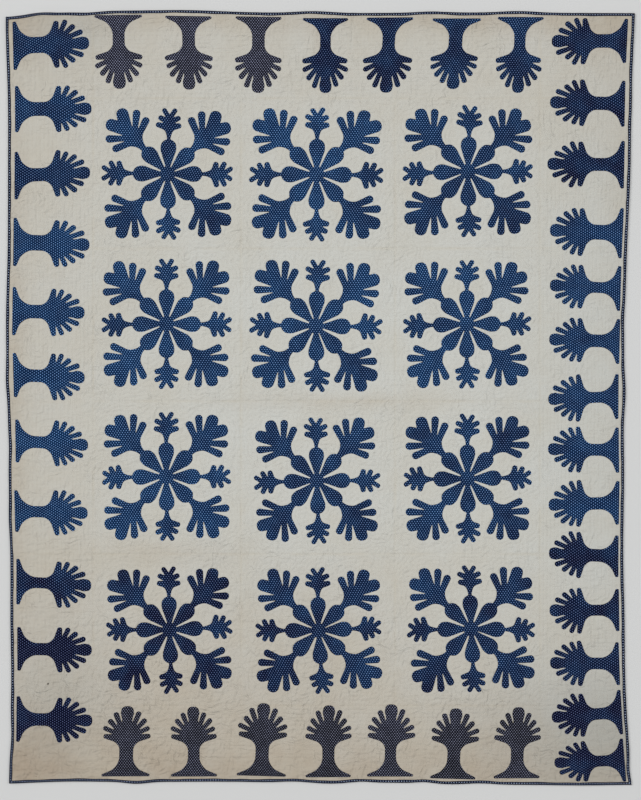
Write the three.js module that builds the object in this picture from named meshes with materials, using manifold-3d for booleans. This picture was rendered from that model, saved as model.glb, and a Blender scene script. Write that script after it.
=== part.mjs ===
// Appliqué quilt, lying flat and face up: a quilted cream body, a folded blue binding on each edge,
// twelve oak-leaf medallions in three columns and four rows, and a border of trees that stand on the edges.
// Millimetres, +Z up, +Y towards the quilt's top edge. The origin is the middle of the underside.
import * as THREE from "three";
import { mergeVertices } from "three/addons/utils/BufferGeometryUtils.js";
import Module from "manifold-3d";

const wasm = await Module();
wasm.setup();

// Driving dimensions of the whole
const HALF_WIDTH = 945;
const HALF_LENGTH = 1165;
const BODY_TOP = 5;
const GAP = 0.3;
const CLOTH = 1;

// Block seams and the middles of the blocks, which are also where the edges bend
const SEAM_X = [-687, -240, 225, 663];
const SEAM_Y = [-930, -472, -10, 451, 905];
const MIDDLE_X = [-464, -13, 446];
const MIDDLE_Y = [-701, -241, 220, 678];

// How far each uneven edge stands out from a true rectangle, at the corners, seams and block middles in turn
const EDGE_OUT = {
  left: [-4, -8, -8, -8, -3, 0, 5, 0, -1, -1, 4],
  right: [-4, -21, -29, -31, -28, -30, -26, -19, -9, -6, 5],
  bottom: [1, -4, -5, -5, 1, -2, 4, 4, 4],
  top: [-14, 3, 4, 0, -3, -2, -1, -2, -3],
};

// Binding: a strip folded over the rim, so its section is a narrow C
const BINDING_WIDTH = 9;
const BINDING_FOLD = 1.2;
const RIM_INSET = CLOTH + GAP;
const RIM_BOTTOM = CLOTH + GAP;
const RIM_TOP = BODY_TOP - CLOTH - GAP;
const STEP_FOOT = BINDING_WIDTH + GAP;
const STEP_RUN = 0.6;

// Quilting of the border: sewn lines that run round parallel to the edges, with a full ridge between each two
const RING_FIRST_RIDGE = 40;
const RING_PITCH = 61;
const RING_RIDGES = 4;
const SEWN_DEPTH = 1.2;

// A tree's pattern, from its base at the edge to the tip of its crown. The hollow beside the trunk is set out
// from the trunk's side, and the crown has fingers in pairs, from the lowest up.
const TREE = {
  length: 227,
  crown: 142,
  hollow: [
    { along: 31, out: 12 },
    { along: 68, out: 0 },
    { along: 104, out: 9 },
  ],
  lobes: [
    { along: 132, across: 71, lean: 79, width: 13, slitAlong: 137, slitAcross: 40 },
    { along: 159, across: 69, lean: 66, width: 13, slitAlong: 150, slitAcross: 36 },
    { along: 186, across: 55, lean: 42, width: 13, slitAlong: 166, slitAcross: 27 },
    { along: 211, across: 36, lean: 17, width: 13.5, slitAlong: 173, slitAcross: 16 },
  ],
  tipHalf: 19,
  tipShoulder: 15,
};

// Trees on each edge: place along the edge, distance in from it, length, widths of base, trunk and crown, and
// how far the trunk leans, in degrees
const TREE_ROWS = {
  left: [
    { place: 1063, inset: 18, length: 229, base: 142, trunk: 49, crown: 146, lean: -1 },
    { place: 872, inset: 21, length: 230, base: 136, trunk: 42, crown: 140, lean: 0 },
    { place: 671, inset: 20, length: 227, base: 140, trunk: 40, crown: 140, lean: -2.5 },
    { place: 475, inset: 17, length: 229, base: 142, trunk: 47, crown: 144, lean: 1.5 },
    { place: 262, inset: 19, length: 217, base: 142, trunk: 41, crown: 142, lean: 0.5 },
    { place: 69, inset: 19, length: 214, base: 130, trunk: 38, crown: 142, lean: 3.5 },
    { place: -130, inset: 22, length: 218, base: 126, trunk: 36, crown: 137, lean: 4 },
    { place: -342, inset: 16, length: 219, base: 122, trunk: 34, crown: 137, lean: 3 },
    { place: -555, inset: 18, length: 225, base: 134, trunk: 33, crown: 139, lean: 3 },
    { place: -758, inset: 21, length: 224, base: 128, trunk: 37, crown: 138, lean: 1 },
    { place: -970, inset: 19, length: 228, base: 134, trunk: 38, crown: 136, lean: 0.5 },
  ],
  right: [
    { place: 1073, inset: 19, length: 226, base: 130, trunk: 41, crown: 142, lean: -1.5 },
    { place: 888, inset: 19, length: 225, base: 135, trunk: 40, crown: 139, lean: 0 },
    { place: 704, inset: 19, length: 231, base: 140, trunk: 39, crown: 140, lean: -0.5 },
    { place: 497, inset: 15, length: 219, base: 148, trunk: 45, crown: 146, lean: 0 },
    { place: 330, inset: 15, length: 213, base: 132, trunk: 33, crown: 137, lean: 1 },
    { place: 170, inset: 14, length: 212, base: 132, trunk: 38, crown: 137, lean: 0.5 },
    { place: 4, inset: 15, length: 211, base: 132, trunk: 33, crown: 138, lean: -2.5 },
    { place: -158, inset: 15, length: 213, base: 133, trunk: 36, crown: 137, lean: 1.5 },
    { place: -317, inset: 14, length: 212, base: 128, trunk: 37, crown: 141, lean: -2.5 },
    { place: -479, inset: 14, length: 209, base: 122, trunk: 38, crown: 138, lean: 2.5 },
    { place: -641, inset: 13, length: 209, base: 124, trunk: 33, crown: 138, lean: 0.5 },
    { place: -803, inset: 16, length: 208, base: 126, trunk: 35, crown: 136, lean: 2.5 },
    { place: -949, inset: 15, length: 211, base: 131, trunk: 35, crown: 132, lean: -1 },
    { place: -1094, inset: 17, length: 211, base: 127, trunk: 33, crown: 122, lean: 2 },
  ],
  top: [
    { place: -611, inset: 13, length: 222, base: 139, trunk: 36, crown: 144, lean: -0.5 },
    { place: -399, inset: 15, length: 221, base: 135, trunk: 38, crown: 140, lean: -1.5 },
    { place: -187, inset: 13, length: 229, base: 134, trunk: 38, crown: 144, lean: -0.5 },
    { place: 15, inset: 15, length: 225, base: 132, trunk: 32, crown: 137, lean: 0 },
    { place: 210, inset: 14, length: 226, base: 136, trunk: 38, crown: 145, lean: 3.5 },
    { place: 412, inset: 18, length: 212, base: 142, trunk: 41, crown: 144, lean: 3.5 },
    { place: 605, inset: 13, length: 228, base: 134, trunk: 34, crown: 137, lean: 2 },
  ],
  bottom: [
    { place: -589, inset: 17, length: 211, base: 141, trunk: 42, crown: 146, lean: 2 },
    { place: -382, inset: 16, length: 210, base: 134, trunk: 35, crown: 136, lean: -0.5 },
    { place: -179, inset: 19, length: 219, base: 144, trunk: 40, crown: 148, lean: 0.5 },
    { place: 23, inset: 20, length: 216, base: 132, trunk: 36, crown: 138, lean: 1 },
    { place: 210, inset: 19, length: 217, base: 135, trunk: 34, crown: 144, lean: 1 },
    { place: 399, inset: 17, length: 212, base: 132, trunk: 39, crown: 144, lean: 1.5 },
    { place: 592, inset: 20, length: 214, base: 134, trunk: 38, crown: 138, lean: 2 },
  ],
};

// The darker, greyer print: the first trees of the top edge, and every tree of the bottom edge
const GREY_TOP_TREES = 3;

// A medallion: eight petals round a hub, each with a leaf on its end
const PETALS = 8;
const HUB_RADIUS = 24;
const PETAL_HALF_WIDTH = 24.5;
const PETAL_WIDEST = 84;

// The small leaves lie on the quilt's axes and the large ones between them. Each has lobes in pairs, from the
// lowest up: where a lobe's tip is, how far it leans from the leaf's axis, and the slit above it.
const SMALL_LEAF = {
  neckAlong: 106,
  neckHalf: 5,
  flare: { along: 134, across: 12 },
  lobes: [
    { along: 151.5, across: 38.5, lean: 68, width: 12, slitAlong: 155, slitAcross: 15 },
    { along: 176.5, across: 35.5, lean: 58, width: 12.5, slitAlong: 174, slitAcross: 12 },
    { along: 201, across: 19.5, lean: 27, width: 13, slitAlong: 182, slitAcross: 0 },
  ],
};
const LARGE_LEAF = {
  neckAlong: 105,
  neckHalf: 8.8,
  flare: { along: 139, across: 23 },
  lobes: [
    { along: 170.5, across: 75, lean: 66, width: 19, slitAlong: 161, slitAcross: 25 },
    { along: 209, across: 66, lean: 50, width: 21, slitAlong: 178, slitAcross: 18 },
    { along: 243, across: 32, lean: 30, width: 34, slitAlong: 224, slitAcross: 0 },
  ],
};

// The blunt end of a lobe, as shares of its width: how far it reaches to each side, and how far it stops
// short of the round tip. A lobe wider than the broad one has its tip too.
const BLUNT_HALF = 0.4;
const BLUNT_SHORT = 0.15;
const BROAD_LOBE = 30;

// The medallions, with each one's own place and size against the pattern, and how far its petals are turned
// from even places, in degrees, counted from the upper one round to the left
const MEDALLIONS = [
  { row: 1, column: 1, x: -462, y: 676, size: 0.98, turns: [-2, -2, -1, 1, 1, 1, 0, -1] },
  { row: 1, column: 2, x: -12, y: 675, size: 1, turns: [-1, -1, 0, 0, 0, -1, -1, 0] },
  { row: 1, column: 3, x: 445, y: 684, size: 0.98, turns: [-2, 0, 2, 0, 1, 0, 0, -1] },
  { row: 2, column: 1, x: -465, y: 224, size: 0.97, turns: [0, 1, 1, 0, 0, -1, -1, 0] },
  { row: 2, column: 2, x: -14, y: 217, size: 0.985, turns: [-2, -3, -1, -1, 1, -2, -1, -1] },
  { row: 2, column: 3, x: 442, y: 223, size: 0.955, turns: [0, 0, 2, 2, 0, -1, 0, 1] },
  { row: 3, column: 1, x: -466, y: -238, size: 0.965, turns: [0, 0, 1, 1, 1, 1, 0, 0] },
  { row: 3, column: 2, x: -11, y: -250, size: 0.94, turns: [1, 1, 2, 0, 2, 0, 0, 3] },
  { row: 3, column: 3, x: 444, y: -244, size: 0.96, turns: [0, 0, 1, 1, 1, 0, 1, 1] },
  { row: 4, column: 1, x: -456, y: -701, size: 0.945, turns: [1, 1, 0, 0, 2, 2, 3, 2] },
  { row: 4, column: 2, x: -6, y: -703, size: 0.945, turns: [1, 0, 0, 0, 4, 3, 3, 0] },
  { row: 4, column: 3, x: 455, y: -698, size: 0.955, turns: [2, 1, 1, 2, 3, 2, -1, 0] },
];

// Scissor work: how far a hand-cut lobe may miss the pattern, and how far apart the seeds of its wander lie
const CUT_REACH = 3;
const CUT_ANGLE = 2.5;
const PIECE_SEED = 10;
const LOBE_SEED = 0.17;
const WANDER_PITCH = 12.9898;
const WANDER_SPREAD = 43758.5453;

// Working limits: turns taken to find where two uneven lines cross, and how close two points become one
const CROSSING_PASSES = 6;
const SAME_POINT = 1e-4;

const FINISH = {
  cream: { color: 0xd6d0c2, roughness: 0.9 },
  indigo: { color: 0x35517d, roughness: 0.85 },
  slate: { color: 0x4a4954, roughness: 0.85 },
  binding: { color: 0x2d4876, roughness: 0.85 },
};

const radians = THREE.MathUtils.degToRad;

// A repeatable wander between -1 and 1 for the seed given.
function handCut(seed) {
  const wave = Math.sin(seed * WANDER_PITCH) * WANDER_SPREAD;
  return 2 * (wave - Math.floor(wave)) - 1;
}

// The value at a place on a line through rising stations, carried on straight past its ends.
function along(stations, values, place) {
  let last = stations.findIndex((station) => station >= place);
  if (last < 1) last = last === 0 ? 1 : stations.length - 1;
  const share = (place - stations[last - 1]) / (stations[last] - stations[last - 1]);
  return THREE.MathUtils.lerp(values[last - 1], values[last], share);
}

// The four edges, as the coordinate across them at a place along them
const byValue = (a, b) => a - b;
const STATIONS_X = [-HALF_WIDTH, ...SEAM_X, ...MIDDLE_X, HALF_WIDTH].sort(byValue);
const STATIONS_Y = [-HALF_LENGTH, ...SEAM_Y, ...MIDDLE_Y, HALF_LENGTH].sort(byValue);
const edges = {
  left: (y) => -HALF_WIDTH - along(STATIONS_Y, EDGE_OUT.left, y),
  right: (y) => HALF_WIDTH + along(STATIONS_Y, EDGE_OUT.right, y),
  bottom: (x) => -HALF_LENGTH - along(STATIONS_X, EDGE_OUT.bottom, x),
  top: (x) => HALF_LENGTH + along(STATIONS_X, EDGE_OUT.top, x),
};

const isUpright = (side) => side === "left" || side === "right";
const isLow = (side) => side === "left" || side === "bottom";

// A line across the quilt: at a fixed place, or a distance in from one of the edges.
const fixedLine = (place) => () => place;
const inwards = (side, inset) => (isLow(side) ? inset : -inset);
const insideLine = (side, inset) => (other) => edges[side](other) + inwards(side, inset);

// The point where an upright line crosses a level one, found by turns because both may follow uneven edges.
function crossing(column, row) {
  const point = new THREE.Vector2();
  for (let pass = 0; pass < CROSSING_PASSES; pass += 1) point.set(column(point.y), row(point.x));
  return point;
}

// Distances in from an edge where the body's surface bends: the rim, the step up to the quilting, and the
// quilting's ridges and sewn lines in turn
const ringInsets = [];
for (let ridge = 0; ridge < RING_RIDGES; ridge += 1) {
  ringInsets.push(RING_FIRST_RIDGE + ridge * RING_PITCH);
  if (ridge < RING_RIDGES - 1) ringInsets.push(RING_FIRST_RIDGE + (ridge + 0.5) * RING_PITCH);
}
const insets = [RIM_INSET, STEP_FOOT, STEP_FOOT + STEP_RUN, ...ringInsets];
const RIM_LINES = 2;

function bodyLines(low, high, stations) {
  const lowSide = insets.map((inset) => insideLine(low, inset));
  const highSide = insets.map((inset) => insideLine(high, inset)).reverse();
  return [...lowSide, ...stations.slice(1, -1).map(fixedLine), ...highSide];
}

// The body's grid lines, and how far in from the nearest edge a crossing stands, counted in lines
const columns = bodyLines("left", "right", STATIONS_X);
const rows = bodyLines("bottom", "top", STATIONS_Y);
const depthIn = (index, lines) => Math.min(index, lines.length - 1 - index);
const isOdd = (n) => n % 2 === 1;

// Whether a crossing lies on a sewn line: every other ring of the border, or a seam between the blocks.
function isSewn(i, j) {
  const ring = Math.min(depthIn(i, columns), depthIn(j, rows));
  if (ring < insets.length) return ring > RIM_LINES && !isOdd(ring - RIM_LINES);
  return !isOdd(i - insets.length) || !isOdd(j - insets.length);
}

function asSolid(geometry) {
  geometry.deleteAttribute("normal");
  geometry.deleteAttribute("uv");
  const merged = mergeVertices(geometry, SAME_POINT);
  const vertProperties = new Float32Array(merged.attributes.position.array);
  const triVerts = new Uint32Array(merged.index.array);
  return new wasm.Manifold(new wasm.Mesh({ numProp: 3, vertProperties, triVerts }));
}

function asGeometry(solid) {
  const mesh = solid.getMesh();
  const geometry = new THREE.BufferGeometry();
  geometry.setAttribute("position", new THREE.BufferAttribute(mesh.vertProperties, 3));
  geometry.setIndex(new THREE.BufferAttribute(mesh.triVerts, 1));
  return geometry;
}

// The quilted layers as one padded slab: a sewn face, a flat underside, and a thinner rim for the binding.
function bodyGeometry() {
  const nx = columns.length - 1;
  const ny = rows.length - 1;
  const below = -CLOTH;
  const slab = new THREE.BoxGeometry(1, 1, 1, nx, ny, 1);
  const position = slab.attributes.position;
  for (let n = 0; n < position.count; n += 1) {
    const i = Math.round((position.getX(n) + 0.5) * nx);
    const j = Math.round((position.getY(n) + 0.5) * ny);
    const onRim = Math.min(depthIn(i, columns), depthIn(j, rows)) < RIM_LINES;
    const face = onRim ? RIM_TOP : BODY_TOP - (isSewn(i, j) ? SEWN_DEPTH : 0);
    const back = onRim ? RIM_BOTTOM : below;
    const point = crossing(columns[i], rows[j]);
    position.setXYZ(n, point.x, point.y, position.getZ(n) > 0 ? face : back);
  }
  // The back is trimmed level, so that the quilt lies flat.
  const trim = new THREE.BoxGeometry(3 * HALF_WIDTH, 3 * HALF_LENGTH, 2 * CLOTH);
  trim.translate(0, 0, -CLOTH);
  return asGeometry(asSolid(slab).subtract(asSolid(trim)));
}

// Section of the binding: distance in from the quilt's edge, and height
const BINDING_SECTION = [
  { inset: 0, height: BINDING_FOLD },
  { inset: BINDING_FOLD, height: 0 },
  { inset: BINDING_WIDTH, height: 0 },
  { inset: BINDING_WIDTH, height: CLOTH },
  { inset: CLOTH, height: CLOTH },
  { inset: CLOTH, height: BODY_TOP - CLOTH },
  { inset: BINDING_WIDTH, height: BODY_TOP - CLOTH },
  { inset: BINDING_WIDTH, height: BODY_TOP },
  { inset: BINDING_FOLD, height: BODY_TOP },
  { inset: 0, height: BODY_TOP - BINDING_FOLD },
];

// The binding's strips run round the quilt, each from one corner to the next.
const BINDING_RUNS = {
  left: { from: "top", to: "bottom" },
  bottom: { from: "left", to: "right" },
  right: { from: "bottom", to: "top" },
  top: { from: "right", to: "left" },
};

// One side of the binding, folded over its uneven edge, with mitred ends.
function bindingGeometry(side) {
  const { from, to } = BINDING_RUNS[side];
  const stations = [...(isUpright(side) ? STATIONS_Y : STATIONS_X)];
  if (!isLow(from)) stations.reverse();
  const spans = stations.length - 1;
  const section = BINDING_SECTION.map((p) => new THREE.Vector2(p.inset, p.height));
  const strip = new THREE.ExtrudeGeometry(new THREE.Shape(section), {
    depth: spans,
    steps: spans,
    bevelEnabled: false,
  });
  const position = strip.attributes.position;
  for (let n = 0; n < position.count; n += 1) {
    const inset = position.getX(n);
    const station = Math.round(position.getZ(n));
    let place = fixedLine(stations[station]);
    if (station === 0) place = insideLine(from, inset + GAP / 2);
    if (station === spans) place = insideLine(to, inset + GAP / 2);
    const edge = insideLine(side, inset);
    const point = isUpright(side) ? crossing(edge, place) : crossing(place, edge);
    position.setXYZ(n, point.x, point.y, position.getY(n));
  }
  return strip;
}

// A list of outline points on one side of a motif's axis, with side 1 or -1, and a call that adds to it.
function halfOutline(side) {
  const points = [];
  const put = (up, across) => points.push(new THREE.Vector2(side * across, up));
  return { points, put };
}

// The end of a lobe that leans from the motif's axis.
function putLobe(put, tip, lean, width) {
  const upward = Math.cos(lean) * width;
  const outward = Math.sin(lean) * width;
  const endUp = tip.up - BLUNT_SHORT * upward;
  const endAcross = tip.across - BLUNT_SHORT * outward;
  put(endUp - BLUNT_HALF * outward, endAcross + BLUNT_HALF * upward);
  if (width > BROAD_LOBE) put(tip.up, tip.across);
  put(endUp + BLUNT_HALF * outward, endAcross - BLUNT_HALF * upward);
}

// The lobes on one side of a motif, from the lowest up, each cut a little off pattern, with its slit above.
function putLobes(put, lobes, side, seed) {
  lobes.forEach((lobe, i) => {
    const lobeSeed = seed + side * (i + 1) * LOBE_SEED;
    const lean = radians(lobe.lean + CUT_ANGLE * handCut(lobeSeed));
    const miss = CUT_REACH * handCut(lobeSeed + 1);
    const tip = { up: lobe.along + miss * Math.cos(lean), across: lobe.across + miss * Math.sin(lean) };
    putLobe(put, tip, lean, lobe.width);
    if (lobe.slitAcross > 0) put(lobe.slitAlong, lobe.slitAcross);
  });
}

// One half of a tree's outline, from the base to beside the tip.
function treeHalf(tree, side, seed) {
  const { points, put } = halfOutline(side);
  const high = tree.length / TREE.length;
  const wide = tree.crown / TREE.crown;
  put(0, tree.base / 2);
  for (const { along: up, out } of TREE.hollow) put(up * high, tree.trunk / 2 + out);
  const putCrown = (up, across) => put(up * high, across * wide);
  putLobes(putCrown, TREE.lobes, side, seed);
  putCrown(TREE.length - TREE.tipShoulder, TREE.tipHalf);
  return points;
}

// A whole tree. One that leans is sheared along its base, which stays on its line.
function treeOutline(tree, seed) {
  const tip = new THREE.Vector2(0, tree.length);
  const outline = [...treeHalf(tree, 1, seed), tip, ...treeHalf(tree, -1, seed).reverse()];
  const shear = Math.tan(radians(tree.lean));
  return outline.map((point) => new THREE.Vector2(point.x + shear * point.y, point.y));
}

// One half of a leaf, from its neck up to beside the notch at its tip.
function leafHalf(leaf, side, seed) {
  const { points, put } = halfOutline(side);
  put(leaf.neckAlong, leaf.neckHalf);
  put(leaf.flare.along, leaf.flare.across);
  putLobes(put, leaf.lobes, side, seed);
  return points;
}

// A petal with the leaf on its end, as the outline from one slit beside the hub to the next.
function petalOutline(leaf, seed) {
  const notch = leaf.lobes[leaf.lobes.length - 1];
  const widest = (side) => new THREE.Vector2(side * PETAL_HALF_WIDTH, PETAL_WIDEST);
  const slitTurn = -Math.PI / PETALS;
  return [
    new THREE.Vector2(0, HUB_RADIUS).rotateAround(new THREE.Vector2(), slitTurn),
    widest(1),
    ...leafHalf(leaf, 1, seed),
    new THREE.Vector2(0, notch.slitAlong),
    ...leafHalf(leaf, -1, seed).reverse(),
    widest(-1),
  ];
}

function medallionOutline(turns, seed) {
  const outline = [];
  const centre = new THREE.Vector2();
  for (let petal = 0; petal < PETALS; petal += 1) {
    const leaf = isOdd(petal) ? LARGE_LEAF : SMALL_LEAF;
    const turn = (petal * 2 * Math.PI) / PETALS + radians(turns[petal]);
    for (const point of petalOutline(leaf, seed + petal)) outline.push(point.rotateAround(centre, turn));
  }
  return outline;
}

const clothGeometry = (outline) =>
  new THREE.ExtrudeGeometry(new THREE.Shape(outline), { depth: CLOTH, bevelEnabled: false });

function addMesh(group, name, geometry, finish) {
  const material = new THREE.MeshStandardMaterial({ ...FINISH[finish], metalness: 0 });
  const mesh = new THREE.Mesh(geometry, material);
  mesh.name = name;
  group.add(mesh);
  return mesh;
}

// Where a tree stands: its base on a line inside the edge, square to the edge, with the crown inwards.
const TREE_FACING = { bottom: 0, right: Math.PI / 2, top: Math.PI, left: -Math.PI / 2 };

function placeTree(mesh, side, tree) {
  const { place, inset } = tree;
  const base = insideLine(side, inset)(place);
  const rise = edges[side](place + tree.base / 2) - edges[side](place - tree.base / 2);
  const slope = Math.atan(rise / tree.base);
  const [x, y] = isUpright(side) ? [base, place] : [place, base];
  mesh.position.set(x, y, BODY_TOP + GAP);
  mesh.rotation.z = TREE_FACING[side] + (isUpright(side) ? -slope : slope);
}

const quilt = new THREE.Group();
quilt.name = "quilt";

addMesh(quilt, "body", bodyGeometry(), "cream");
for (const side of Object.keys(edges)) addMesh(quilt, `binding_${side}`, bindingGeometry(side), "binding");

// The appliqué is counted as it is laid, so that each piece is cut a little differently.
let cut = 0;
const nextSeed = () => {
  cut += 1;
  return cut * PIECE_SEED;
};

for (const block of MEDALLIONS) {
  const geometry = clothGeometry(medallionOutline(block.turns, nextSeed()));
  const mesh = addMesh(quilt, `medallion_r${block.row}_c${block.column}`, geometry, "indigo");
  mesh.position.set(block.x, block.y, BODY_TOP + GAP);
  mesh.scale.set(block.size, block.size, 1);
}

for (const [side, trees] of Object.entries(TREE_ROWS)) {
  trees.forEach((tree, n) => {
    const isGrey = side === "bottom" || (side === "top" && n < GREY_TOP_TREES);
    const name = `tree_${side}_${String(n + 1).padStart(2, "0")}`;
    const geometry = clothGeometry(treeOutline(tree, nextSeed()));
    placeTree(addMesh(quilt, name, geometry, isGrey ? "slate" : "indigo"), side, tree);
  });
}

export default quilt;
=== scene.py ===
"""Bed quilt laid flat, face up: quilted cream cotton, blue leaf medallions, a tree border, a binding.

Sizes are in millimetres, and MM turns them into Blender's metres when a mesh is written.
The frame is the part's own: +X to the right, +Y to the quilt's top edge, +Z up out of its face.
"""

import logging
import math
from dataclasses import dataclass
from enum import Enum
from typing import Iterable, Iterator, Sequence

import bmesh
import bpy
import numpy as np
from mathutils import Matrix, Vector
from mathutils.kdtree import KDTree


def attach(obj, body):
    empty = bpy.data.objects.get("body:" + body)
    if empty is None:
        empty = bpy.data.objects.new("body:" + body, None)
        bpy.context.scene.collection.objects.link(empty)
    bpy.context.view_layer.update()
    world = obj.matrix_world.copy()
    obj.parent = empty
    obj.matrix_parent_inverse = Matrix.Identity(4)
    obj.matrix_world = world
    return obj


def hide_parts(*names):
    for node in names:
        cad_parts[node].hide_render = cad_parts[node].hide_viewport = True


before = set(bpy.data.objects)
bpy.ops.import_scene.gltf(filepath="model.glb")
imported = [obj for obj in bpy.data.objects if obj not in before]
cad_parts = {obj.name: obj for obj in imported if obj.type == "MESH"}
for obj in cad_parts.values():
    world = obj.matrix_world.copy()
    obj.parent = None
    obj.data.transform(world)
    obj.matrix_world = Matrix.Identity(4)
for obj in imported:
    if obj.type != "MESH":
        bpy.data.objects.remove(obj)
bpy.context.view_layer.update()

MM = 0.001
ROOT = "root"

Colour = tuple[float, float, float]
Corner = tuple[float, float, float]
Wave = tuple[float, float, float]
Array = np.ndarray
BMesh = bmesh.types.BMesh
Material = bpy.types.Material
Mesh = bpy.types.Mesh
Piece = bpy.types.Object
Socket = bpy.types.NodeSocket

# Rate and spread of the repeatable wander
WANDER_RATE, WANDER_SPREAD = 12.9898, 43758.5453
# Most of a side that a rounded corner takes, the shortest round, and the bend of a straight corner
MOST_OF_SIDE, SHORTEST_ROUND, STRAIGHT = 0.499, 0.05, 1e-6
# Rounds in which points settle between two uneven edges
SETTLING = 3

log = logging.getLogger("quilt")


class Side(Enum):
    """An edge of the quilt, as it is seen from above."""

    LEFT = "left"
    RIGHT = "right"
    BOTTOM = "bottom"
    TOP = "top"

    @property
    def upright(self) -> bool:
        """Whether the edge runs along Y."""
        return self in (Side.LEFT, Side.RIGHT)

    @property
    def outward(self) -> int:
        """The sign of the direction out of the quilt."""
        return 1 if self in (Side.RIGHT, Side.TOP) else -1


class Shade(Enum):
    """How far a piece of the print has faded, from nearly black to a clear mid blue."""

    DARKEST = 0.0
    NAVY = 0.25
    DEEP = 0.5
    MIDDLE = 0.75
    CLEAR = 1.0


class Cloth(Enum):
    """A record slot that a piece takes its finish from."""

    CREAM = "cream_cotton"
    INDIGO = "indigo_print"
    SLATE = "slate_print"
    BINDING = "binding_print"


# Shapes worked out from a few numbers


def smooth_line(stations: Array, values: Array, places: Array) -> Array:
    """Value at each place on a smooth line through rising stations.

    Args:
        stations: Rising places at which the value is known.
        values: The value at each station.
        places: Where the line is read.

    Returns:
        The values at the places.
    """
    slopes = np.gradient(values, stations)
    left = np.clip(np.searchsorted(stations, places) - 1, 0, len(stations) - 2)
    span = stations[left + 1] - stations[left]
    t = np.clip((places - stations[left]) / span, 0.0, 1.0)
    rise = t * t * (3 - 2 * t)
    start = t * (1 - t) ** 2 * span * slopes[left]
    end = t * t * (t - 1) * span * slopes[left + 1]
    return values[left] + rise * (values[left + 1] - values[left]) + start + end


def ease(x: Array) -> Array:
    """A soft step from 0 to 1 as x goes from 0 to 1."""
    x = np.clip(x, 0.0, 1.0)
    return x * x * (3 - 2 * x)


def hand_cut(seed: float) -> float:
    """A repeatable wander between -1 and 1, the same one that the solids are cut with."""
    wave = math.sin(seed * WANDER_RATE) * WANDER_SPREAD
    return 2 * (wave - math.floor(wave)) - 1


def spaced(points: Array, step: float) -> Array:
    """A closed outline again, with points added so that none are further apart than step.

    Args:
        points: Rows of x and y round the outline.
        step: The longest distance wanted between two points.

    Returns:
        Rows of x and y.
    """
    runs = []
    for start, end in zip(points, np.roll(points, -1, axis=0)):
        count = max(1, math.ceil(np.linalg.norm(end - start) / step))
        runs.append(start + np.linspace(0, 1, count, endpoint=False)[:, None] * (end - start))
    return np.concatenate(runs)


def rounded(corners: Sequence[Corner], step: float) -> Array:
    """A closed outline through corners, each of them rounded by its own radius.

    Args:
        corners: Rows of x, y and radius, in order round the outline.
        step: Distance between points on the round stretches.

    Returns:
        Rows of x and y.
    """
    at = np.array([corner[:2] for corner in corners], float)
    outline = []
    for i, (_, _, radius) in enumerate(corners):
        back, on = at[i - 1] - at[i], at[(i + 1) % len(at)] - at[i]
        back_length, on_length = np.linalg.norm(back), np.linalg.norm(on)
        back, on = back / back_length, on / on_length
        half = math.acos(max(-1.0, min(1.0, float(back @ on)))) / 2
        reach = min(radius / math.tan(half), MOST_OF_SIDE * back_length, MOST_OF_SIDE * on_length)
        middle = back + on
        if reach < SHORTEST_ROUND or np.linalg.norm(middle) < STRAIGHT:
            outline.append(at[i])
            continue
        true_radius = reach * math.tan(half)
        centre = at[i] + middle / np.linalg.norm(middle) * true_radius / math.sin(half)
        first, last = at[i] + back * reach - centre, at[i] + on * reach - centre
        start = math.atan2(first[1], first[0])
        sweep = math.remainder(math.atan2(last[1], last[0]) - start, math.tau)
        count = max(2, math.ceil(true_radius * abs(sweep) / step) + 1)
        turns = start + np.linspace(0, sweep, count)
        outline.extend(centre + true_radius * np.stack([np.cos(turns), np.sin(turns)], axis=1))
    return np.array(outline)


def placed(outline: Array, scale: float, turn: float, at: tuple[float, float]) -> Array:
    """An outline scaled, turned and moved to its place.

    Args:
        outline: Rows of x and y.
        scale: Its scale.
        turn: Turn to the left, in radians.
        at: Where its origin goes.

    Returns:
        Rows of x and y.
    """
    across, along = scale * outline.T
    x = across * math.cos(turn) - along * math.sin(turn)
    y = across * math.sin(turn) + along * math.cos(turn)
    return np.stack([x + at[0], y + at[1]], axis=1)


# Layout of the whole quilt


# How far each edge lies out from a straight line, at its stations
EDGE_OUTS = {
    Side.LEFT: (-4, -8, -8, -8, -3, 0, 5, 0, -1, -1, 4),
    Side.RIGHT: (-4, -21, -29, -31, -28, -30, -26, -19, -9, -6, 5),
    Side.BOTTOM: (1, -4, -5, -5, 1, -2, 4, 4, 4),
    Side.TOP: (-14, 3, 4, 0, -3, -2, -1, -2, -3),
}
# Short stretches where an edge swings out, or in where negative: place, reach and swing
RIPPLES = {
    Side.LEFT: (
        (1080, 130, 3), (50, 60, 4), (-150, 50, -2),
        (-370, 60, 2.5), (-840, 110, -2.5), (-1022, 55, -4),
    ),
    Side.RIGHT: (
        (887, 60, 2), (235, 50, -2.5), (15, 70, 6.5), (-660, 130, 3), (-1125, 40, -4),
    ),
    Side.BOTTOM: (
        (-780, 120, -3), (-557, 45, 6), (-75, 65, -5.5), (120, 45, -4.5),
        (313, 35, -4), (482, 60, -4.5), (780, 110, 2),
    ),
    Side.TOP: (
        (-847, 50, 5.5), (-700, 45, -3.5), (-390, 130, 3),
        (-20, 80, 6), (335, 60, 3.5), (600, 75, 5),
    ),
}


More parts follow.
